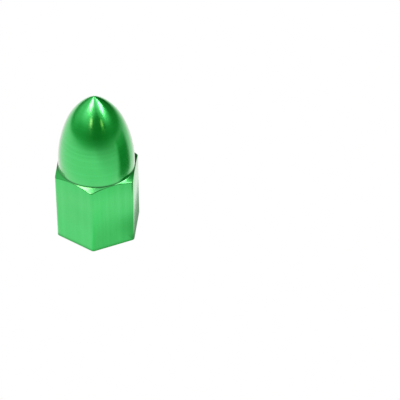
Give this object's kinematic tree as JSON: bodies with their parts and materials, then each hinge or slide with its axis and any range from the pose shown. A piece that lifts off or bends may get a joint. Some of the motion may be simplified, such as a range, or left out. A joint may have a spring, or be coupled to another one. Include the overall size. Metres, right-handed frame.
{
  "type": "tyre valve cap",
  "caption": "Bullet-nosed screw-on valve cap with a hexagonal grip, a blind threaded hole and a rubber sealing washer.",
  "frame": {"origin": "centre of the mouth's face, on the axis of the threaded hole", "axes": "+Z along the axis, from the mouth to the tip of the nose; two corners of the hexagon lie on X"},
  "size_m": [0.0114, 0.01, 0.0207],
  "materials": {
    "green_anodised": "green anodised: satin on the flats, bright on the turned nose",
    "black_rubber": "matt moulded rubber"
  },
  "bodies": {
    "root": {"cap_body": "green_anodised", "sealing_washer": "black_rubber"}
  },
  "joints": []
}
